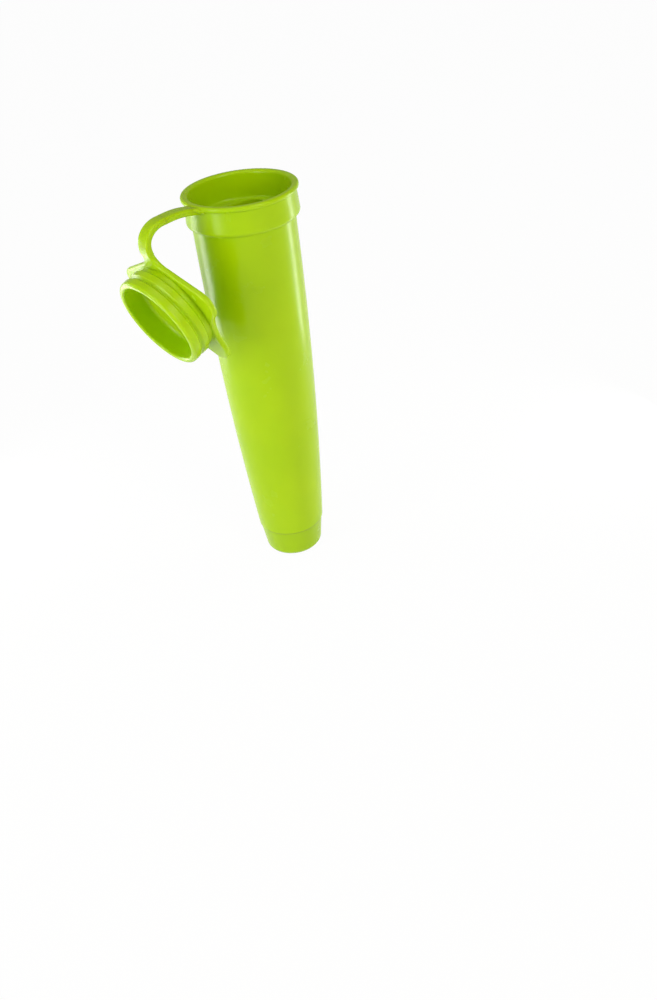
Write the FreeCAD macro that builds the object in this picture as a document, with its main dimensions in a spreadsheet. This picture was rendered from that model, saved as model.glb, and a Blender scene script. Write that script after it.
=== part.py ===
import FreeCAD, Part
import math
import os
import re
import Sketcher
from FreeCAD import Vector

# Ice pop mould: a tall tapered silicone tube with a five-lobed cavity, a star-shaped lid with
# a hollow ribbed plug, and a short flat strap that ties the lid to the lip of the tube.
# Frame: +Z up, origin at the centre of the foot's underside, strap and lid on the -X side.
# All sizes are millimetres and degrees.

SIZES = {
    "overall_height": 153.0,
    "foot_radius": 11.6,
    "foot_top_radius": 12.9,
    "foot_round": 3.0,
    "shoulder_height": 12.6,
    "shoulder_radius": 13.3,
    "shoulder_round": 0.8,
    "side_bulge": 1.4,
    "neck_radius": 18.45,
    "neck_rise": 0.6,
    "collar_radius": 19.7,
    "collar_foot_radius": 20.2,
    "collar_depth": 10.5,
    "collar_round": 1.2,
    "lip_radius": 20.7,
    "lip_thickness": 1.8,
    "lip_round": 0.8,
    "lip_inner_round": 1.0,
    "mouth_radius": 18.1,
    "mouth_depth": 10.0,
    "ledge_round": 1.0,
    "lobe_wall": 2.0,
    "lobe_depth_top": 3.4,
    "lobe_depth_bottom": 2.4,
    "lobe_round_top": 5.0,
    "lobe_round_bottom": 3.4,
    "floor_thickness": 8.0,
    "floor_wall_gain": 1.0,
    "floor_round": 2.0,
    "strap_width": 5.2,
    "strap_thickness": 2.4,
    "strap_edge_round": 0.7,
    "strap_drop": 1.6,
    "rise_radius": 57.5,
    "rise_angle": 14.0,
    "root_angle": 2.0,
    "root_sink_angle": 2.3,
    "crest_angle": 1.25,
    "bend_radius": 7.3,
    "bend_angle": 110.0,
    "tail_angle": 24.0,
    "plate_reach": 22.2,
    "plate_thickness": 2.2,
    "plate_edge_round": 0.9,
    "star_tip_radius": 24.6,
    "star_depth": 6.6,
    "star_tip_round": 6.0,
    "flare_round": 5.0,
    "plug_clearance": 0.45,
    "plug_depth": 9.6,
    "plug_lip_height": 3.0,
    "plug_lip_round": 1.2,
    "plug_rib_height": 2.0,
    "plug_rib_offset": 5.0,
    "plug_groove": 0.8,
    "plug_wall": 1.5,
    "plug_hollow_depth": 8.2,
    "plug_hollow_round": 1.5,
}
LOBES = 5
STEP_ANGLE = 360 // LOBES
HALF_STEP = STEP_ANGLE // 2
SMALL = 1e-3

doc = FreeCAD.newDocument("IcePopMould")


def make_sheet(sizes):
    """Put every driving dimension in the sheet as a plain number with an alias."""
    cells = doc.addObject("Spreadsheet::Sheet", "Sizes")
    for row, (alias, number) in enumerate(sizes.items(), start=1):
        cells.set(f"A{row}", alias)
        cells.set(f"B{row}", str(number))
        cells.setAlias(f"B{row}", alias)
    doc.recompute()
    return cells


sheet = make_sheet(SIZES)


def bound(formula):
    """Point each size's name in a formula at its cell."""
    def to_cell(match):
        word = match.group(0)
        return f"{sheet.Name}.{word}" if word in SIZES else word
    return re.sub(r"[a-z_]+", to_cell, formula)


def value(formula):
    """Work out a formula of sizes as a number."""
    return float(sheet.evalExpression(bound(formula)))


# Formulas that more than one piece shares
COLLAR_FOOT = "(overall_height - collar_depth)"
LIP_FOOT = "(overall_height - lip_thickness)"
MOUTH_FLOOR = "(overall_height - mouth_depth)"
SIDE_LENGTH = f"({COLLAR_FOOT} - neck_rise - shoulder_height - shoulder_round)"
SIDE_MIDDLE = f"(({COLLAR_FOOT} - neck_rise + shoulder_height + shoulder_round) / 2)"
MIDDLE_RADIUS = "((neck_radius + shoulder_radius) / 2 + side_bulge)"
PLUG_RADIUS = "(mouth_radius - plug_clearance)"

# Strap centre line, as distances out from the tube's axis and heights
STRAP_ROOT_Z = "(overall_height - strap_drop)"
RISE_CENTRE_OUT = "(lip_radius + rise_radius * sin(rise_angle))"
RISE_CENTRE_Z = f"({STRAP_ROOT_Z} - rise_radius * cos(rise_angle))"
BEND_CENTRE_Z = f"({RISE_CENTRE_Z} + rise_radius - bend_radius)"
BEND_END_OUT = f"({RISE_CENTRE_OUT} + bend_radius * sin(bend_angle))"
BEND_END_Z = f"({BEND_CENTRE_Z} + bend_radius * cos(bend_angle))"
PLATE_OUT = f"({BEND_END_OUT} + plate_reach * cos(bend_angle))"
PLATE_Z = f"({BEND_END_Z} - plate_reach * sin(bend_angle))"


def new_body(label):
    body = doc.addObject("PartDesign::Body", label)
    body.Label = label
    return body


def origin_plane(body, role):
    for feature in body.Origin.OriginFeatures:
        if feature.Role == role:
            return feature
    raise ValueError(role)


def new_sketch(body, name, role, height=None):
    """Attach a sketch to one of the body's own planes, lifted by an optional formula."""
    sketch = body.newObject("Sketcher::SketchObject", name)
    sketch.AttachmentSupport = [(origin_plane(body, role), "")]
    sketch.MapMode = "FlatFace"
    if height is not None:
        sketch.setExpression("AttachmentOffset.Base.z", bound(height))
    return sketch


def pin(sketch, kind, edge, place, formula):
    """Tie one coordinate of a point, or a radius, to a formula."""
    number = value(formula)
    if kind == "Radius":
        index = sketch.addConstraint(Sketcher.Constraint(kind, edge, number))
    else:
        index = sketch.addConstraint(Sketcher.Constraint(kind, -1, 1, edge, place, number))
    sketch.setExpression(f"Constraints[{index}]", bound(formula))


def arc_between(start, end, radius, side):
    """Short arc from start to end whose centre is on the given side of the chord."""
    chord = end - start
    half = chord.Length / 2
    across = Vector(-chord.y, chord.x, 0).normalize()
    centre = (start + end) / 2 + across * (side * math.sqrt(max(radius**2 - half**2, 0)))
    first = math.atan2(start.y - centre.y, start.x - centre.x)
    last = math.atan2(end.y - centre.y, end.x - centre.x)
    circle = Part.Circle(centre, Vector(0, 0, 1), radius)
    if side > 0:
        return Part.ArcOfCircle(circle, first, last)
    return Part.ArcOfCircle(circle, last, first)


def draw_profile(sketch, corners):
    """Closed outline. Each corner is (across, up, bend): bend shapes the edge to the next
    corner, None for a straight one or (radius formula, side) for an arc."""
    points = [Vector(value(across), value(up), 0) for across, up, bend in corners]
    count = len(corners)
    ends = []
    for number, (across, up, bend) in enumerate(corners):
        start = points[number]
        end = points[(number + 1) % count]
        if bend is None:
            edge = sketch.addGeometry(Part.LineSegment(start, end), False)
            ends.append((edge, 1, 2))
            continue
        radius, side = bend
        edge = sketch.addGeometry(arc_between(start, end, value(radius), side), False)
        ends.append((edge, 1, 2) if side > 0 else (edge, 2, 1))
    for number in range(count):
        edge, first, last = ends[number]
        following, entry, leave = ends[(number + 1) % count]
        sketch.addConstraint(Sketcher.Constraint("Coincident", edge, last, following, entry))
    for number, (across, up, bend) in enumerate(corners):
        edge, first, last = ends[number]
        pin(sketch, "DistanceX", edge, first, across)
        pin(sketch, "DistanceY", edge, first, up)
        if bend is not None:
            pin(sketch, "Radius", edge, None, bend[0])


def arc_from(centre, radius, first, last):
    circle = Part.Circle(centre, Vector(0, 0, 1), radius)
    return Part.ArcOfCircle(circle, math.radians(first), math.radians(last))


def polar(radius, angle):
    turn = math.radians(angle)
    return Vector(radius * math.cos(turn), radius * math.sin(turn), 0)


def valley_radius_formula(tip, valley, rounding):
    """Radius of the hollow arc that meets two tip arcs and dips to the valley radius."""
    arm = f"(({tip}) - ({rounding}))"
    turn = f"cos({HALF_STEP})"
    top = f"(({rounding})^2 - {arm}^2 - ({valley})^2 + 2 * {arm} * ({valley}) * {turn})"
    bottom = f"(2 * ({valley}) - 2 * {arm} * {turn} - 2 * ({rounding}))"
    return f"({top} / {bottom})"


def add_tip(sketch, tip, rounding, hollow_radius, valley, angle):
    """Rounded tip of a star, centred on the ray at the given angle."""
    arm = value(tip) - value(rounding)
    centre = polar(arm, angle)
    hollow = polar(value(valley) + hollow_radius, angle + HALF_STEP)
    reach = math.degrees(math.atan2(hollow.y - centre.y, hollow.x - centre.x)) - angle
    reach = (reach + 180) % 360 - 180
    edge = sketch.addGeometry(arc_from(centre, value(rounding), angle - reach, angle + reach), False)
    pin(sketch, "DistanceX", edge, 3, f"(({tip}) - ({rounding})) * cos({angle})")
    pin(sketch, "DistanceY", edge, 3, f"(({tip}) - ({rounding})) * sin({angle})")
    pin(sketch, "Radius", edge, None, rounding)
    return edge, reach


def add_hollow(sketch, valley, hollow_formula, reach, angle):
    """Hollow side arc of a star, centred on the ray at the given angle."""
    radius = value(hollow_formula)
    centre = polar(value(valley) + radius, angle)
    first = angle - HALF_STEP + reach + 180
    last = angle + HALF_STEP - reach + 180
    edge = sketch.addGeometry(arc_from(centre, radius, min(first, last), max(first, last)), False)
    pin(sketch, "Radius", edge, None, hollow_formula)
    return edge


def draw_star(sketch, tip, valley, rounding):
    """Five rounded tips joined by five hollow arcs, the first tip on the -X side."""
    hollow_formula = valley_radius_formula(tip, valley, rounding)
    tips = []
    hollows = []
    for number in range(LOBES):
        angle = 180 + STEP_ANGLE * number
        edge, reach = add_tip(sketch, tip, rounding, value(hollow_formula), valley, angle)
        tips.append(edge)
        hollows.append(add_hollow(sketch, valley, hollow_formula, reach, angle + HALF_STEP))
    for number in range(LOBES):
        following = tips[(number + 1) % LOBES]
        sketch.addConstraint(Sketcher.Constraint("Tangent", tips[number], 2, hollows[number], 2))
        sketch.addConstraint(Sketcher.Constraint("Tangent", hollows[number], 1, following, 1))


def revolve(body, sketch, name):
    feature = body.newObject("PartDesign::Revolution", name)
    feature.Profile = sketch
    feature.ReferenceAxis = (sketch, ["V_Axis"])
    feature.Angle = 360
    sketch.Visibility = False
    return feature


def pad_both_ways(body, sketch, name, length):
    feature = body.newObject("PartDesign::Pad", name)
    feature.Profile = sketch
    feature.SideType = "Symmetric"
    feature.setExpression("Length", bound(length))
    sketch.Visibility = False
    return feature


def round_edges(body, base, name, chosen, radius):
    """Fillet the edges of the base feature that the test picks."""
    doc.recompute()
    names = [f"Edge{n}" for n, edge in enumerate(base.Shape.Edges, start=1) if chosen(edge)]
    feature = body.newObject("PartDesign::Fillet", name)
    feature.Base = (base, names)
    feature.setExpression("Radius", bound(radius))
    return feature


def section_corners():
    """Cross-section of the strap: a flat rectangle with rounded corners."""
    wide = "strap_width / 2"
    high = "strap_thickness / 2"
    arc = ("strap_edge_round", 1)
    return [
        (f"{wide} - strap_edge_round", f"-{high}", arc),
        (wide, f"-{high} + strap_edge_round", None),
        (wide, f"{high} - strap_edge_round", arc),
        (f"{wide} - strap_edge_round", high, None),
        (f"-{wide} + strap_edge_round", high, arc),
        (f"-{wide}", f"{high} - strap_edge_round", None),
        (f"-{wide}", f"-{high} + strap_edge_round", arc),
        (f"-{wide} + strap_edge_round", f"-{high}", None),
    ]


def add_band(body, name, out, up, tilt, radius, sweep):
    """Stretch of strap: its section, standing at a place and leant toward +X by the tilt,
    turned toward +X about a line along Y that lies one bend radius below it."""
    section = new_sketch(body, f"{name}_section", "YZ_Plane", f"0 - ({out})")
    section.setExpression("AttachmentOffset.Base.y", bound(up))
    section.AttachmentOffset = FreeCAD.Placement(
        section.AttachmentOffset.Base, FreeCAD.Rotation(Vector(1, 0, 0), value(tilt)))
    section.setExpression("AttachmentOffset.Rotation.Angle", bound(tilt))
    draw_profile(section, section_corners())
    below = -value(radius)
    axis = section.addGeometry(Part.LineSegment(Vector(0, below, 0), Vector(1, below, 0)), True)
    pin(section, "DistanceX", axis, 1, "0")
    pin(section, "DistanceX", axis, 2, "1")
    pin(section, "DistanceY", axis, 1, f"0 - {radius}")
    pin(section, "DistanceY", axis, 2, f"0 - {radius}")
    band = body.newObject("PartDesign::Revolution", f"{name}_band")
    band.Profile = section
    band.ReferenceAxis = (section, ["Axis0"])
    band.setExpression("Angle", bound(sweep))
    section.Visibility = False
    return band


def add_stretch(body, name, centre_z, radius, first, last):
    """Strap between two angles of one of its two curves. The angles are measured from
    straight above the curve's centre and grow outward."""
    out = f"{RISE_CENTRE_OUT} + {radius} * sin({last})"
    up = f"{centre_z} + {radius} * cos({last})"
    return add_band(body, name, out, up, f"0 - ({last})", radius, f"({last}) - ({first})")


def build_tube():
    """Foot, tapered side, collar and lip in one revolve, then the lobed cavity."""
    body = new_body("tube")
    outline = new_sketch(body, "tube_outline", "XZ_Plane")
    side_radius = f"({SIDE_LENGTH}^2 / 4 + side_bulge^2) / (2 * side_bulge)"
    draw_profile(outline, [
        ("0", "0", None),
        ("foot_radius - foot_round", "0", ("foot_round", 1)),
        ("foot_radius", "foot_round", None),
        ("foot_top_radius", "shoulder_height", ("shoulder_round", 1)),
        ("shoulder_radius", "shoulder_height + shoulder_round", (side_radius, 1)),
        ("neck_radius", f"{COLLAR_FOOT} - neck_rise", None),
        ("collar_foot_radius - collar_round", f"{COLLAR_FOOT}", ("collar_round", 1)),
        ("collar_foot_radius", f"{COLLAR_FOOT} + collar_round", None),
        ("collar_radius", f"{LIP_FOOT}", None),
        ("lip_radius - lip_round", f"{LIP_FOOT}", ("lip_round", 1)),
        ("lip_radius", f"{LIP_FOOT} + lip_round", None),
        ("lip_radius", "overall_height - lip_round", ("lip_round", 1)),
        ("lip_radius - lip_round", "overall_height", None),
        ("mouth_radius + lip_inner_round", "overall_height", ("lip_inner_round", 1)),
        ("mouth_radius", "overall_height - lip_inner_round", None),
        ("mouth_radius", f"{MOUTH_FLOOR} + ledge_round", ("ledge_round", -1)),
        ("mouth_radius - ledge_round", f"{MOUTH_FLOOR}", None),
        ("0", f"{MOUTH_FLOOR}", None),
    ])
    revolve(body, outline, "tube_revolve")
    levels = [
        ("top", MOUTH_FLOOR, "neck_radius - lobe_wall", "lobe_depth_top", "lobe_round_top"),
        ("middle", SIDE_MIDDLE, f"{MIDDLE_RADIUS} - lobe_wall",
         "(lobe_depth_top + lobe_depth_bottom) / 2", "(lobe_round_top + lobe_round_bottom) / 2"),
        ("floor", "floor_thickness", "shoulder_radius - lobe_wall - floor_wall_gain",
         "lobe_depth_bottom", "lobe_round_bottom"),
    ]
    stars = []
    for name, height, tip, depth, rounding in levels:
        star = new_sketch(body, f"cavity_{name}", "XY_Plane", height)
        draw_star(star, tip, f"({tip}) - ({depth})", rounding)
        stars.append(star)
    cavity = body.newObject("PartDesign::SubtractiveLoft", "cavity")
    cavity.Profile = stars[0]
    cavity.Sections = stars[1:]
    floor_height = value("floor_thickness")

    def at_floor(edge):
        return abs(edge.BoundBox.ZMax - floor_height) < SMALL and edge.BoundBox.ZLength < SMALL

    round_edges(body, cavity, "cavity_floor_edges", at_floor, "floor_round")
    add_stretch(body, "strap_root", RISE_CENTRE_Z, "rise_radius",
                "-rise_angle - root_sink_angle", "-rise_angle + root_angle")
    return body


def strap_pivots():
    """Points on the strap's centre line where it flexes, from the lip to the lid."""
    stations = [
        (RISE_CENTRE_Z, "rise_radius", "(root_angle - rise_angle)"),
        (RISE_CENTRE_Z, "rise_radius", "(0 - crest_angle)"),
        (BEND_CENTRE_Z, "bend_radius", "(bend_angle - tail_angle)"),
    ]
    return [(f"{RISE_CENTRE_OUT} + {radius} * sin({angle})", f"{centre} + {radius} * cos({angle})")
            for centre, radius, angle in stations]


def build_strap():
    """The strap's free length in two stretches: the rise off the lip and the bend to the lid."""
    rise = new_body("strap_rise")
    add_stretch(rise, "rise", RISE_CENTRE_Z, "rise_radius", "root_angle - rise_angle",
                "0 - crest_angle")
    bend = new_body("strap_bend")
    add_stretch(bend, "crest", RISE_CENTRE_Z, "rise_radius", "0 - crest_angle", "0")
    add_stretch(bend, "bend", BEND_CENTRE_Z, "bend_radius", "0", "bend_angle - tail_angle")
    return [rise, bend]


def add_flare(sketch, neck, tip_edge, side):
    """One side of the strap's flare: a hollow arc off the neck, then a straight edge onto the
    first rounded tip. The side is 1 toward +Y or -1 toward -Y."""
    hollow_round = value("flare_round")
    tip_round = value("star_tip_round")
    hollow = Vector(value("plate_reach"), value("strap_width / 2 + flare_round"), 0)
    tip_centre = polar(value("star_tip_radius - star_tip_round"), STEP_ANGLE)
    across = tip_centre - hollow
    swing = math.asin((hollow_round + tip_round) / across.Length)
    heading = math.degrees(math.atan2(across.y, across.x) - swing)
    leave = hollow + polar(hollow_round, heading + 90)
    land = tip_centre + polar(tip_round, heading - 90)
    for point in (hollow, leave, land):
        point.y *= side
    turns = (heading + 90, 270) if side > 0 else (90, 270 - heading)
    free_end = 1 if side > 0 else 2
    neck_end = 3 - free_end
    arc = sketch.addGeometry(arc_from(hollow, hollow_round, *turns), False)
    edge = sketch.addGeometry(Part.LineSegment(leave, land), False)
    pin(sketch, "DistanceX", neck, neck_end, "plate_reach")
    pin(sketch, "DistanceY", neck, neck_end, f"{side} * strap_width / 2")
    pin(sketch, "DistanceX", arc, 3, "plate_reach")
    pin(sketch, "Radius", arc, None, "flare_round")
    sketch.addConstraint(Sketcher.Constraint("Coincident", neck, neck_end, arc, neck_end))
    sketch.addConstraint(Sketcher.Constraint("Tangent", arc, free_end, edge, 1))
    sketch.addConstraint(Sketcher.Constraint("Tangent", edge, 2, tip_edge, free_end))


def draw_lid_outline(sketch):
    """Star plate whose first point opens out of the strap with two flares."""
    tip = "star_tip_radius"
    valley = "(star_tip_radius - star_depth)"
    rounding = "star_tip_round"
    hollow_formula = valley_radius_formula(tip, valley, rounding)
    tips = []
    reach = 0
    for number in range(1, LOBES):
        edge, reach = add_tip(sketch, tip, rounding, value(hollow_formula), valley,
                              STEP_ANGLE * number)
        tips.append(edge)
    for number in range(1, LOBES - 1):
        edge = add_hollow(sketch, valley, hollow_formula, reach, STEP_ANGLE * number + HALF_STEP)
        sketch.addConstraint(Sketcher.Constraint("Tangent", tips[number - 1], 2, edge, 2))
        sketch.addConstraint(Sketcher.Constraint("Tangent", edge, 1, tips[number], 1))
    arm = value("plate_reach")
    half = value("strap_width / 2")
    neck = sketch.addGeometry(Part.LineSegment(Vector(arm, -half, 0), Vector(arm, half, 0)), False)
    add_flare(sketch, neck, tips[0], 1)
    add_flare(sketch, neck, tips[-1], -1)


def build_lid():
    """Star plate with its strap tail and hollow ribbed plug, drawn flat with the plug up,
    then hung from the strap's end."""
    body = new_body("lid")
    outline = new_sketch(body, "lid_outline", "XY_Plane")
    draw_lid_outline(outline)
    plate = pad_both_ways(body, outline, "lid_plate", "plate_thickness")
    arm = value("plate_reach")

    def on_rim(edge):
        return edge.BoundBox.ZLength < SMALL and edge.BoundBox.XMin < arm - SMALL

    round_edges(body, plate, "lid_plate_edges", on_rim, "plate_edge_round")
    add_band(body, "lid_tail", "0 - plate_reach", "0", "0", "bend_radius", "tail_angle")
    face = "plate_thickness / 2"
    mouth = f"({face} + plug_depth)"
    rib = f"({mouth} - plug_rib_offset)"
    groove_radius = f"({PLUG_RADIUS} - plug_groove)"
    inside = f"({groove_radius} - plug_wall)"
    plug = new_sketch(body, "plug_side", "XZ_Plane")
    draw_profile(plug, [
        (f"{inside} - plug_hollow_round", f"{mouth} - plug_hollow_depth", ("plug_hollow_round", 1)),
        (inside, f"{mouth} - plug_hollow_depth + plug_hollow_round", None),
        (inside, f"{mouth} - plug_wall / 2", ("plug_wall / 2", -1)),
        (f"{inside} + plug_wall / 2", mouth, None),
        (f"{PLUG_RADIUS} - plug_lip_round", mouth, ("plug_lip_round", -1)),
        (PLUG_RADIUS, f"{mouth} - plug_lip_round", None),
        (PLUG_RADIUS, f"{mouth} - plug_lip_height", None),
        (groove_radius, f"{mouth} - plug_lip_height - plug_groove", None),
        (groove_radius, f"{rib} + plug_groove", None),
        (PLUG_RADIUS, rib, None),
        (PLUG_RADIUS, f"{rib} - plug_rib_height", None),
        (groove_radius, f"{rib} - plug_rib_height - plug_groove", None),
        (groove_radius, "0", None),
        ("0", "0", None),
        ("0", f"{mouth} - plug_hollow_depth", None),
    ])
    revolve(body, plug, "plug")
    body.setExpression("Placement.Rotation.Angle", bound("0 - bend_angle"))
    body.setExpression("Placement.Base.x", bound(f"0 - {PLATE_OUT}"))
    body.setExpression("Placement.Base.z", bound(PLATE_Z))
    body.Placement.Rotation.Axis = Vector(0, 1, 0)
    return body


def check(parts):
    """Stop if any feature failed or any piece is empty or invalid."""
    for item in doc.Objects:
        if "Invalid" in item.State or "Error" in item.State:
            raise RuntimeError(f"{item.Name}: {item.State}")
    for item in parts:
        if item.Shape.isNull() or not item.Shape.isValid():
            raise RuntimeError(f"{item.Label}: bad shape")


parts = [build_tube()]
parts.extend(build_strap())
parts.append(build_lid())
doc.recompute()
check(parts)
os.makedirs("parts", exist_ok=True)
for item in parts:
    item.Shape.exportStep(f"parts/{item.Label}.step")
    print(item.Label, len(item.Shape.Solids), round(item.Shape.Volume, 2))
for number, (out, up) in enumerate(strap_pivots(), start=1):
    print(f"pivot {number}: x {-value(out):.4f} z {value(up):.4f}")
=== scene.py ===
import logging
import math
from dataclasses import dataclass, field
from enum import Enum
from typing import Any, Sequence

import bmesh
import bpy
from mathutils import Euler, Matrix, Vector


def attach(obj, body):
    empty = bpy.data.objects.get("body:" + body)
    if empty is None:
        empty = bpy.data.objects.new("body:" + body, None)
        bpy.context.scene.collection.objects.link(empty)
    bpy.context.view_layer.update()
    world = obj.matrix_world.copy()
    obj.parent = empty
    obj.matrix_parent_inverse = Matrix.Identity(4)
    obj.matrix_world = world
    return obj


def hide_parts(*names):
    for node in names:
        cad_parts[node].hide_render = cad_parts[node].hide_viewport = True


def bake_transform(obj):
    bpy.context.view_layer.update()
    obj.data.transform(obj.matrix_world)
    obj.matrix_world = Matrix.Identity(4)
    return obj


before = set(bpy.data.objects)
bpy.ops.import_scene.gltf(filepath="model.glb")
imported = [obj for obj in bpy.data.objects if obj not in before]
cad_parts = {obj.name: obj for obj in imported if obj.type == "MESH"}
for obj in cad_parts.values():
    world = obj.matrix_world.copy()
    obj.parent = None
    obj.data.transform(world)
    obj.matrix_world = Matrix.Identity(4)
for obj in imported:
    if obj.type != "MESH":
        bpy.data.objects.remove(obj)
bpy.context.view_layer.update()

# An ice pop mould of lime green silicone: a tapered tube with a collar and a lip, a star-shaped
# lid with a ribbed plug, and the short flat strap that ties the lid to the lip.
# Everything is in the row frame: metres, +Z up, the foot's underside at the origin.

LOG = logging.getLogger("ice_pop_mould")
MM = 0.001
# The colour sockets of the mix node, which share their names with its number sockets
MIX_FIRST, MIX_SECOND, MIX_RESULT = 6, 7, 2


def linear(hex_colour: str) -> tuple[float, float, float, float]:
    """Turn an sRGB hex colour into linear RGBA.

    Args:
        hex_colour: six hex digits, with or without a leading hash.

    Returns:
        The colour in linear light, with full alpha.
    """
    digits = hex_colour.lstrip("#")
    channels = [int(digits[at:at + 2], 16) / 255 for at in (0, 2, 4)]
    bright = [c / 12.92 if c <= 0.04045 else ((c + 0.055) / 1.055) ** 2.4 for c in channels]
    return (bright[0], bright[1], bright[2], 1.0)


def per_metre(size_mm: float) -> float:
    """Pattern scale at which one feature of a procedural pattern is the given size."""
    return 1 / (size_mm * MM)


class Shade(Enum):
    """Shader nodes that the finishes are built from."""

    COORDINATES = "ShaderNodeTexCoord"
    SPLIT = "ShaderNodeSeparateXYZ"
    NOISE = "ShaderNodeTexNoise"
    RANGE = "ShaderNodeMapRange"
    MIX = "ShaderNodeMix"
    BUMP = "ShaderNodeBump"
    SURFACE = "ShaderNodeBsdfPrincipled"
    RAYS = "ShaderNodeLightPath"
    MATHS = "ShaderNodeMath"
    GLOW = "ShaderNodeEmission"
    BLEND = "ShaderNodeMixShader"
    OUTPUT = "ShaderNodeOutputMaterial"


def add_node(
    tree: bpy.types.NodeTree,
    kind: Shade,
    settings: dict[str, Any] | None = None,
    inputs: dict[str | int, Any] | None = None,
    links: dict[str | int, bpy.types.NodeSocket] | None = None,
) -> bpy.types.Node:
    """Add one shader node with its settings, values and incoming links.

    Args:
        tree: node tree that the node joins.
        kind: which node it is.
        settings: the node's own properties by name.
        inputs: plain values for its input sockets.
        links: output sockets of earlier nodes that feed its input sockets.

    Returns:
        The new node.
    """
    node = tree.nodes.new(kind.value)
    for name, setting in (settings or {}).items():
        setattr(node, name, setting)
    for socket, number in (inputs or {}).items():
        node.inputs[socket].default_value = number
    for socket, source in (links or {}).items():
        tree.links.new(source, node.inputs[socket])
    return node


def join_rings(mesh: bmesh.types.BMesh, rings: Sequence[Sequence[bmesh.types.BMVert]]) -> None:
    """Skin a row of closed rings, and leave out what has shrunk to a line.

    Args:
        mesh: the mesh that holds the rings.
        rings: the rings in order, each with the same number of corners.
    """
    for near, far in zip(rings, rings[1:]):
        for number in range(len(near)):
            following = (number + 1) % len(near)
            corners = [near[number], near[following], far[following], far[number]]
            face = list(dict.fromkeys(corners))
            if len(face) > 2:
                mesh.faces.new(face)


def moulded_piece(
    name: str, mesh: bmesh.types.BMesh, finish: bpy.types.Material
) -> bpy.types.Object:
    """Turn a finished mesh into a smooth object of the scene.

    Args:
        name: the object's name.
        mesh: its mesh, which is freed.
        finish: its material.

    Returns:
        The object.
    """
    bmesh.ops.recalc_face_normals(mesh, faces=mesh.faces)
    data = bpy.data.meshes.new(name)
    mesh.to_mesh(data)
    mesh.free()
    data.shade_smooth()
    data.materials.append(finish)
    piece = bpy.data.objects.new(name, data)
    bpy.context.scene.collection.objects.link(piece)
    return piece


def seen_directly(tree: bpy.types.NodeTree) -> bpy.types.NodeSocket:
    """Find the rays that show a backdrop, straight or in a reflection, and don't light by it.

    Args:
        tree: node tree that the test joins.

    Returns:
        A socket that is 1 for those rays and 0 for the rest.
    """
    rays = add_node(tree, Shade.RAYS)
    mirrored = add_node(
        tree, Shade.MATHS, {"operation": "MAXIMUM"}, None,
        {0: rays.outputs["Is Glossy Ray"], 1: rays.outputs["Is Transmission Ray"]},
    ).outputs["Value"]
    return add_node(
        tree, Shade.MATHS, {"operation": "MAXIMUM"}, None,
        {0: rays.outputs["Is Camera Ray"], 1: mirrored},
    ).outputs["Value"]


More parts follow.
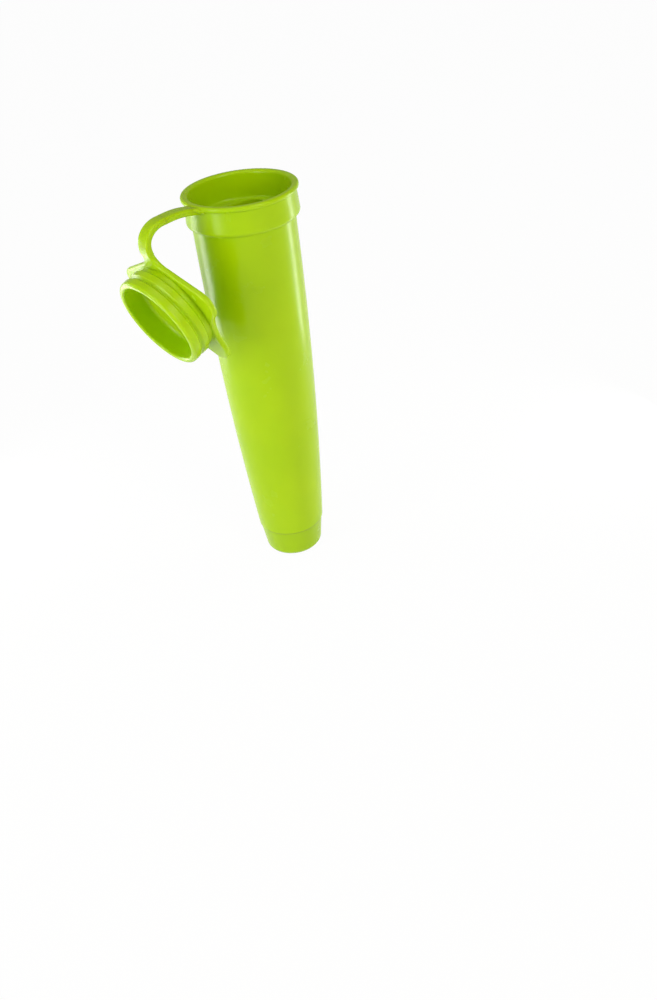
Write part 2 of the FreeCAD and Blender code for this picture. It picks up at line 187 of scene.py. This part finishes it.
@dataclass(frozen=True)
class MouldedSilicone:
    """Food-grade silicone rubber, compression moulded in a blasted steel tool.

    The rubber is coloured through and a little translucent, so light enters it and comes back
    out yellower at thin rims. The blasted tool leaves a satin skin that spreads each reflection
    wide, and the soft wall is never quite true, so the streaks wander a little. The solid foot
    below the cavity is painted a deeper green, as painted shade low on the mould, and a shallow
    step in the tool marks it off.
    """

    name: str = "moulded_silicone"
    body_hex: str = "#B2D400"
    deep_hex: str = "#A0C800"
    glow_mm: tuple[float, float, float] = (2.4, 3.2, 0.35)
    glow_weight: float = 0.32
    ior: float = 1.41
    gloss_level: float = 0.3
    roughness_low: float = 0.22
    roughness_high: float = 0.30
    haze_weight: float = 0.05
    haze_roughness: float = 0.45
    haze_hex: str = "#F2FFB8"
    tone_mm: float = 26.0
    polish_mm: float = 9.0
    cloud_roughness: float = 0.5
    wander_mm: float = 22.0
    wander_depth_mm: float = 0.16
    # the blasted skin's grain is about 0.1 mm, drawn at 0.35 mm so that it shows in the render
    grain_mm: float = 0.35
    grain_depth_mm: float = 0.012
    # painted shade: the solid foot is painted a deeper green than the body above it
    foot_painted_shade_hex: str = "#A4C800"
    foot_mm: float = 12.6
    foot_edge_mm: float = 0.8
    foot_step_mm: float = 0.5

    def build(self) -> bpy.types.Material:
        """Make the material.

        Returns:
            A material whose patterns stand in the object's own coordinates.
        """
        material = bpy.data.materials.new(self.name)
        material.use_nodes = True
        tree = material.node_tree
        tree.nodes.clear()
        place = add_node(tree, Shade.COORDINATES).outputs["Object"]
        tone = self._noise(tree, place, self.tone_mm, detail=2.0)
        colour = add_node(
            tree, Shade.MIX, {"data_type": "RGBA"},
            {MIX_FIRST: linear(self.body_hex), MIX_SECOND: linear(self.deep_hex)},
            {"Factor": tone},
        ).outputs[MIX_RESULT]
        # painted shade: below the foot's edge the colour turns to the deeper foot green; the same
        # mask also makes the real step in the relief
        above = self._above_foot(tree, place)
        colour = add_node(
            tree, Shade.MIX, {"data_type": "RGBA"},
            {MIX_FIRST: linear(self.foot_painted_shade_hex)},
            {"Factor": above, MIX_SECOND: colour},
        ).outputs[MIX_RESULT]
        polish = self._noise(tree, place, self.polish_mm, detail=3.0)
        roughness = add_node(
            tree, Shade.RANGE, None,
            {"To Min": self.roughness_low, "To Max": self.roughness_high},
            {"Value": polish},
        ).outputs["Result"]
        surface = add_node(
            tree, Shade.SURFACE,
            {"subsurface_method": "RANDOM_WALK"},
            {
                "IOR": self.ior,
                "Specular IOR Level": self.gloss_level,
                "Subsurface Weight": self.glow_weight,
                "Subsurface Radius": tuple(reach * MM for reach in self.glow_mm),
                "Subsurface Scale": 1.0,
                "Sheen Weight": self.haze_weight,
                "Sheen Roughness": self.haze_roughness,
                "Sheen Tint": linear(self.haze_hex),
            },
            {
                "Base Color": colour,
                "Roughness": roughness,
                "Normal": self._skin(tree, place, above),
            },
        )
        add_node(tree, Shade.OUTPUT, None, None, {"Surface": surface.outputs["BSDF"]})
        return material

    def _noise(
        self, tree: bpy.types.NodeTree, place: bpy.types.NodeSocket, size_mm: float, detail: float
    ) -> bpy.types.NodeSocket:
        """Cloudy pattern whose features are about the given size.

        Args:
            tree: node tree that the pattern joins.
            place: coordinates that carry it.
            size_mm: size of one feature.
            detail: how many finer layers it has.

        Returns:
            The pattern's factor, from 0 to 1.
        """
        return add_node(
            tree, Shade.NOISE, None,
            {"Scale": per_metre(size_mm), "Detail": detail, "Roughness": self.cloud_roughness},
            {"Vector": place},
        ).outputs["Fac"]

    def _above_foot(
        self, tree: bpy.types.NodeTree, place: bpy.types.NodeSocket
    ) -> bpy.types.NodeSocket:
        """Find what stands above the solid foot.

        Args:
            tree: node tree that the test joins.
            place: coordinates in metres, with the foot's underside at zero height.

        Returns:
            A socket that is 0 on the foot and 1 above its edge.
        """
        height = add_node(tree, Shade.SPLIT, None, None, {"Vector": place}).outputs["Z"]
        return add_node(
            tree, Shade.RANGE, {"interpolation_type": "SMOOTHSTEP"},
            {
                "From Min": (self.foot_mm - self.foot_edge_mm / 2) * MM,
                "From Max": (self.foot_mm + self.foot_edge_mm / 2) * MM,
            },
            {"Value": height},
        ).outputs["Result"]

    def _skin(
        self,
        tree: bpy.types.NodeTree,
        place: bpy.types.NodeSocket,
        above_foot: bpy.types.NodeSocket,
    ) -> bpy.types.NodeSocket:
        """Surface relief: the foot's step, the wall's slow wander, the blasted tool's grain.

        Args:
            tree: node tree that the relief joins.
            place: coordinates that carry it.
            above_foot: 0 on the foot and 1 above it.

        Returns:
            The relief's normal.
        """
        step = add_node(
            tree, Shade.BUMP, None,
            {"Strength": 1.0, "Distance": self.foot_step_mm * MM}, {"Height": above_foot},
        ).outputs["Normal"]
        wander = add_node(
            tree, Shade.BUMP, None,
            {"Strength": 1.0, "Distance": self.wander_depth_mm * MM},
            {"Height": self._noise(tree, place, self.wander_mm, detail=1.0), "Normal": step},
        ).outputs["Normal"]
        return add_node(
            tree, Shade.BUMP, None,
            {"Strength": 1.0, "Distance": self.grain_depth_mm * MM},
            {"Height": self._noise(tree, place, self.grain_mm, detail=2.0), "Normal": wander},
        ).outputs["Normal"]


@dataclass(frozen=True)
class StudioSweep:
    """Matt white paint on the studio's floor: no gloss, only the mould's soft shadow shows.

    What the camera and the mould's reflections see of it is lifted towards pure white, and the
    light that it throws back on the mould is the plain paint's.
    """

    name: str = "white_studio_floor"
    colour_hex: str = "#F4F4F2"
    roughness: float = 0.9
    gloss_level: float = 0.2
    white_share: float = 0.97

    def build(self) -> bpy.types.Material:
        """Make the floor's material.

        Returns:
            The material.
        """
        material = bpy.data.materials.new(self.name)
        material.use_nodes = True
        tree = material.node_tree
        tree.nodes.clear()
        paint = add_node(tree, Shade.SURFACE, None, {
            "Base Color": linear(self.colour_hex),
            "Roughness": self.roughness,
            "Specular IOR Level": self.gloss_level,
        })
        white = add_node(tree, Shade.GLOW, None, {"Color": linear("#FFFFFF"), "Strength": 1.0})
        seen = add_node(
            tree, Shade.MATHS, {"operation": "MULTIPLY"}, {1: self.white_share},
            {0: seen_directly(tree)},
        ).outputs["Value"]
        blend = add_node(
            tree, Shade.BLEND, None, None,
            {"Fac": seen, 1: paint.outputs["BSDF"], 2: white.outputs["Emission"]},
        )
        add_node(tree, Shade.OUTPUT, None, None, {"Surface": blend.outputs["Shader"]})
        return material


class Body(Enum):
    """Rigid bodies of the frame, named as in the part."""

    TUBE = "tube"
    RISE = "strap_rise"
    BEND = "strap_bend"
    LID = "lid"


@dataclass
class MouldShell:
    """A moulding whose CAD solid is already its finished form: only its surface is dressed."""

    body: Body

    def dress(self, finish: bpy.types.Material) -> bpy.types.Object:
        """Give the CAD solid its finish.

        Args:
            finish: the material of the whole solid.

        Returns:
            The dressed object.
        """
        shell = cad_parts[self.body.value]
        shell.data.materials.clear()
        shell.data.materials.append(finish)
        LOG.info("%s: CAD solid dressed in %s", self.body.value, finish.name)
        return shell


@dataclass
class StrapCurve:
    """Centre line of the strap at rest, in the plane y = 0, measured along its length in mm.

    It leaves the lip outward and a little upward on a slack curve, then turns down on a tight
    one towards the lid.
    """

    root_out: float = 20.7
    root_height: float = 151.4
    rise_radius: float = 57.5
    rise_degrees: float = 14.0
    bend_radius: float = 7.3
    bend_degrees: float = 110.0
    root_degrees: float = 2.0
    crest_degrees: float = 1.25
    tail_degrees: float = 24.0
    sag: float = 0.8
    sag_skew: float = 1.3
    probe: float = 0.02

    @property
    def rise_length(self) -> float:
        """Length of the slack curve."""
        return self.rise_radius * math.radians(self.rise_degrees)

    @property
    def root_length(self) -> float:
        """Length that belongs to the tube."""
        return self.rise_radius * math.radians(self.root_degrees)

    @property
    def crest_start(self) -> float:
        """Place along the strap of the flex at its crest."""
        return self.rise_length - self.rise_radius * math.radians(self.crest_degrees)

    @property
    def crest(self) -> Vector:
        """Point that the flex at the crest turns about, in the row frame."""
        return self._on_arcs(self.crest_start)[0] * MM

    @property
    def lid_start(self) -> float:
        """Place along the strap where the lid's own tail starts."""
        turned = math.radians(self.bend_degrees - self.tail_degrees)
        return self.rise_length + self.bend_radius * turned

    @property
    def rise_centre(self) -> tuple[float, float]:
        """Centre of the slack curve.

        Returns:
            Its distances outward and up, in millimetres.
        """
        turn = math.radians(self.rise_degrees)
        return (
            self.root_out + self.rise_radius * math.sin(turn),
            self.root_height - self.rise_radius * math.cos(turn),
        )

    def _on_arcs(self, along: float) -> tuple[Vector, Vector]:
        """Place and outward normal on the two plain arcs, in millimetres.

        Args:
            along: distance from the lip.

        Returns:
            The point and the unit normal.
        """
        out, low = self.rise_centre
        if along <= self.rise_length:
            radius = self.rise_radius
            angle = along / radius - math.radians(self.rise_degrees)
        else:
            radius = self.bend_radius
            angle = (along - self.rise_length) / radius
            low += self.rise_radius - self.bend_radius
        normal = Vector((-math.sin(angle), 0, math.cos(angle)))
        return Vector((-out, 0, low)) + normal * radius, normal

    def _place(self, along: float) -> Vector:
        """Place on the centre line, with the free length's soft sag inside the arcs.

        Args:
            along: distance from the lip.

        Returns:
            The point, in millimetres.
        """
        point, normal = self._on_arcs(along)
        free = (along - self.root_length) / (self.lid_start - self.root_length)
        share = math.sin(math.pi * min(max(free, 0.0), 1.0) ** self.sag_skew) ** 2
        return point - normal * (self.sag * share)

    def station(self, along: float) -> tuple[Vector, Vector]:
        """Place and outward normal of the centre line.

        Args:
            along: distance from the lip, in millimetres.

        Returns:
            The point and the unit normal on the strap's outer face, in the row frame.
        """
        near, far = self._place(along - self.probe), self._place(along + self.probe)
        heading = (far - near).normalized()
        return self._place(along) * MM, Vector((heading.z, 0, -heading.x))


@dataclass
class StrapSpan:
    """One length of the strap, in place of one CAD link.

    It names the two bodies that it joins and a length from bend_start to bend_end along the strap;
    nothing here bends it.
    Where the strap folds back on itself, the nested span lies beside the other one.
    """

    name: str
    replaced: Body
    first: Body
    second: Body
    start: float
    end: float
    bend_start: float
    bend_end: float
    nested: bool


@dataclass
class Strap:
    """Flat band with rounded edges. It is one moulding that flexes, made here in two fixed
    spans that meet at the crest over a round back."""

    curve: StrapCurve = field(default_factory=StrapCurve)
    width: float = 5.2
    thickness: float = 2.4
    edge_round: float = 0.7
    step: float = 0.15
    least_steps: int = 4
    corner_steps: int = 6
    lip_flex: float = 7.0
    lid_flex: float = 9.0
    fold_degrees: float = 102.2
    fold_steps: int = 24
    fold_inset: float = 0.015
    nesting: float = 0.02

    def spans(self) -> list[StrapSpan]:
        """Share the strap out between its two ends.

        Returns:
            Its lengths, from the lip to the lid.
        """
        curve = self.curve
        root, crest, end = curve.root_length, curve.crest_start, curve.lid_start
        return [
            StrapSpan(
                "strap_from_lip", replaced=Body.RISE, first=Body.TUBE, second=Body.RISE,
                start=root, end=crest,
                bend_start=root, bend_end=root + self.lip_flex, nested=False,
            ),
            StrapSpan(
                "strap_to_lid", replaced=Body.BEND, first=Body.BEND, second=Body.LID,
                start=crest, end=end,
                bend_start=end - self.lid_flex, bend_end=end, nested=True,
            ),
        ]

    def section(self, nested: bool) -> list[tuple[float, float]]:
        """Outline of the band across its length.

        Args:
            nested: whether the band is the hair narrower one that folds in beside the other.

        Returns:
            Points as (sideways, outward), in millimetres.
        """
        points = []
        side = self.width / 2 - self.edge_round - (self.nesting if nested else 0)
        face = self.thickness / 2 - self.edge_round
        for across, up, turned in ((1, 1, 0), (-1, 1, 90), (-1, -1, 180), (1, -1, 270)):
            for count in range(self.corner_steps + 1):
                angle = math.radians(turned + 90 * count / self.corner_steps)
                points.append((
                    across * side + self.edge_round * math.cos(angle),
                    up * face + self.edge_round * math.sin(angle),
                ))
        return points

    def _add_fold(self, mesh: bmesh.types.BMesh, nested: bool) -> None:
        """Add the round back of the fold at the crest, which lies inside the other span at rest.

        Args:
            mesh: the span's mesh.
            nested: whether this span folds in beside the other, and turns back toward the lip.
        """
        place, normal = self.curve.station(self.curve.crest_start)
        pivot = self.curve.crest
        inset = self.fold_inset * MM
        axis_level = (pivot - place).dot(normal)
        outline = []
        for side, out in self.section(nested):
            sideways = side * MM * (1 - self.fold_inset / (self.width / 2))
            outline.append((sideways, min(out * MM + inset - axis_level, 0.0)))
        hubs = {
            number: mesh.verts.new(pivot + Vector((0, side, 0)))
            for number, (side, depth) in enumerate(outline) if depth == 0.0
        }
        rings = []
        for step in range(self.fold_steps + 1):
            turn = math.radians(self.fold_degrees) * step / self.fold_steps
            heading = Vector((normal.z, 0, -normal.x)) * (1 if nested else -1)
            arm = normal * math.cos(turn) - heading * math.sin(turn)
            rings.append([
                hubs.get(number) or mesh.verts.new(pivot + Vector((0, side, 0)) + arm * depth)
                for number, (side, depth) in enumerate(outline)
            ])
        join_rings(mesh, rings)
        for ring in (rings[0], rings[-1]):
            for edge in mesh.faces.new(ring).edges:
                edge.smooth = False

    def build_span(self, span: StrapSpan, finish: bpy.types.Material) -> bpy.types.Object:
        """Make one span in place of its CAD link.

        Args:
            span: the length to make.
            finish: its material.

        Returns:
            The span's object.
        """
        mesh = bmesh.new()
        self._add_fold(mesh, span.nested)
        count = max(self.least_steps, math.ceil((span.end - span.start) / self.step))
        rings = []
        for number in range(count + 1):
            along = span.start + (span.end - span.start) * number / count
            place, normal = self.curve.station(along)
            rings.append([
                mesh.verts.new(place + Vector((0, side * MM, 0)) + normal * (out * MM))
                for side, out in self.section(span.nested)
            ])
        join_rings(mesh, rings)
        band = moulded_piece(span.name, mesh, finish)
        start = self.curve.station(span.bend_start)[0]
        end = self.curve.station(span.bend_end)[0]
        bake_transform(band)
        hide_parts(span.replaced.value)
        LOG.info("%s: %.1f mm of strap", span.name, span.end - span.start)
        return band

    def build(self, finish: bpy.types.Material) -> list[bpy.types.Object]:
        """Make the whole strap in place of its two CAD links.

        Args:
            finish: the strap's material.

        Returns:
            Its spans, from the lip to the lid.
        """
        return [self.build_span(span, finish) for span in self.spans()]


@dataclass
class StrapRoot:
    """Two rounded webs that spread the strap's root along the lip's rim, one on each side."""

    strap: Strap = field(default_factory=Strap)
    rim_radius: float = 20.6
    spread: float = 3.0
    edge_round: float = 0.85
    cover: float = 2.3
    cover_depth: float = 2.0
    arc_steps: int = 20
    edge_steps: int = 8

    def _top(self, out: float) -> float:
        """Find the height of the strap's upper face.

        Args:
            out: distance from the tube's axis, in millimetres.

        Returns:
            The height, in millimetres.
        """
        centre_out, centre_up = self.strap.curve.rise_centre
        radius = self.strap.curve.rise_radius + self.strap.thickness / 2
        return centre_up + math.sqrt(radius ** 2 - (centre_out - out) ** 2)

    def _ring(self, out: float, side: float, toward: tuple[float, float]) -> list[Vector]:
        """Section of the web at one place on its free edge.

        Args:
            out: place of the free edge, outward from the tube's axis, in millimetres.
            side: its place sideways.
            toward: unit direction from the free edge into the lip and the strap.

        Returns:
            The section's points, in the row frame.
        """
        points = []
        for count in range(self.edge_steps + 1):
            turn = math.pi * (count / self.edge_steps - 0.5)
            points.append((self.edge_round * (1 - math.cos(turn)), math.sin(turn) - 1))
        points.append((self.cover, 0.0))
        points.append((self.cover, -self.cover_depth))
        ring = []
        for inset, drop in points:
            place = out + toward[0] * inset
            ring.append(Vector((
                -place, side + toward[1] * inset, self._top(place) + drop * self.edge_round)) * MM)
        return ring

    def build_web(self, hand: int, finish: bpy.types.Material) -> bpy.types.Object:
        """Make the web on one side of the strap.

        Args:
            hand: 1 for the side toward +Y, -1 for the side toward -Y.
            finish: its material.

        Returns:
            The web's object.
        """
        sideways = self.strap.width / 2 + self.spread
        centre_out = math.sqrt((self.rim_radius + self.spread) ** 2 - sideways ** 2)
        first = -math.pi / 2
        last = math.atan2(-sideways, -centre_out)
        mesh = bmesh.new()
        rings = []
        for number in range(self.arc_steps + 1):
            turn = first + (last - first) * number / self.arc_steps
            across, along = math.sin(turn), math.cos(turn)
            points = self._ring(
                centre_out + self.spread * along,
                hand * (sideways + self.spread * across),
                (along, hand * across),
            )
            rings.append([mesh.verts.new(point) for point in points])
        join_rings(mesh, rings)
        mesh.faces.new(rings[0])
        mesh.faces.new(rings[-1])
        name = "strap_root_web_back" if hand > 0 else "strap_root_web_front"
        web = moulded_piece(name, mesh, finish)
        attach(web, Body.TUBE.value)
        LOG.info("%s: web on the lip", name)
        return web

    def build(self, finish: bpy.types.Material) -> list[bpy.types.Object]:
        """Make both webs and return them."""
        return [self.build_web(hand, finish) for hand in (1, -1)]


@dataclass(frozen=True)
class SoftBox:
    """A rectangular studio light that faces the mould."""

    name: str
    azimuth: float
    elevation: float
    distance: float
    width: float
    height: float
    watts: float
    tint_hex: str = "#FFFFFF"

    def build(self, target: Vector) -> bpy.types.Object:
        """Hang the light.

        Args:
            target: the point that it faces.

        Returns:
            The light's object.
        """
        turn, lift = math.radians(self.azimuth), math.radians(self.elevation)
        away = Vector((
            math.sin(turn) * math.cos(lift), -math.cos(turn) * math.cos(lift), math.sin(lift)))
        data = bpy.data.lights.new(self.name, "AREA")
        data.shape = "RECTANGLE"
        data.size = self.width
        data.size_y = self.height
        data.energy = self.watts
        data.color = linear(self.tint_hex)[:3]
        light = bpy.data.objects.new(self.name, data)
        light.location = target + away * self.distance
        light.rotation_mode = "QUATERNION"
        light.rotation_quaternion = (-away).to_track_quat("-Z", "Y")
        bpy.context.scene.collection.objects.link(light)
        return light


@dataclass
class Studio:
    """White floor, soft lights round the mould, and the camera."""

    floor_size: float = 8.0
    world_strength: float = 0.27
    target: tuple[float, float, float] = (-0.008, 0.0, 0.08)
    camera_place: tuple[float, float, float] = (-0.21622, -0.28694, 0.26648)
    camera_degrees: tuple[float, float, float] = (55.0696, 6.2119, -43.9432)
    camera_lens: float = 37.545
    camera_sensor: float = 36.0
    camera_near: float = 0.01
    lights: Sequence[SoftBox] = (
        SoftBox("left_softbox", -95.0, 12.0, 0.50, 0.20, 0.50, 1.5),
        SoftBox("left_low_strip", -152.0, 0.0, 0.18, 0.06, 0.15, 0.15),
        SoftBox("right_low_strip", 70.0, 0.0, 0.20, 0.03, 0.15, 0.15),
        SoftBox("front_softbox", -4.0, 28.0, 0.90, 0.16, 0.60, 3.8, "#FFF6D6"),
        SoftBox("overhead_softbox", -40.0, 80.0, 0.90, 0.50, 0.50, 0.9),
    )

    def build(self) -> None:
        """Set the floor, world, lights and camera."""
        self._floor()
        self._world()
        for light in self.lights:
            light.build(Vector(self.target))
        self._camera()
        bpy.context.scene.view_settings.view_transform = "Standard"
        LOG.info("studio: floor, %d lights and camera", len(self.lights))

    def _floor(self) -> None:
        """Lay the floor under the foot."""
        half = self.floor_size / 2
        data = bpy.data.meshes.new("studio_floor")
        corners = [(-half, -half, 0), (half, -half, 0), (half, half, 0), (-half, half, 0)]
        data.from_pydata(corners, [], [(0, 1, 2, 3)])
        data.materials.append(StudioSweep().build())
        floor = bpy.data.objects.new("studio_floor", data)
        bpy.context.scene.collection.objects.link(floor)

    def _world(self) -> None:
        """Fill the room with even white light, and show its far walls as white."""
        world = bpy.data.worlds.new("white_room")
        world.use_nodes = True
        tree = world.node_tree
        background = tree.nodes["Background"]
        background.inputs["Color"].default_value = linear("#FFFFFF")
        rays = add_node(tree, Shade.RAYS)
        strength = add_node(
            tree, Shade.RANGE, None, {"To Min": self.world_strength, "To Max": 1.0},
            {"Value": rays.outputs["Is Camera Ray"]},
        ).outputs["Result"]
        tree.links.new(strength, background.inputs["Strength"])
        bpy.context.scene.world = world

    def _camera(self) -> None:
        """Stand the camera where the photograph was taken from."""
        data = bpy.data.cameras.new("camera")
        data.sensor_width = self.camera_sensor
        data.lens = self.camera_lens
        data.clip_start = self.camera_near
        camera = bpy.data.objects.new("camera", data)
        camera.location = self.camera_place
        camera.rotation_euler = Euler([math.radians(a) for a in self.camera_degrees], "XYZ")
        bpy.context.scene.collection.objects.link(camera)
        bpy.context.scene.camera = camera


def main() -> None:
    """Dress the tube and the lid, make the strap, and set the studio round them."""
    logging.basicConfig(level=logging.INFO, format="%(name)s %(message)s")
    silicone = MouldedSilicone().build()
    for body in (Body.TUBE, Body.LID):
        MouldShell(body).dress(silicone)
    Strap().build(silicone)
    StrapRoot().build(silicone)
    Studio().build()


if __name__ == "__main__":
    main()
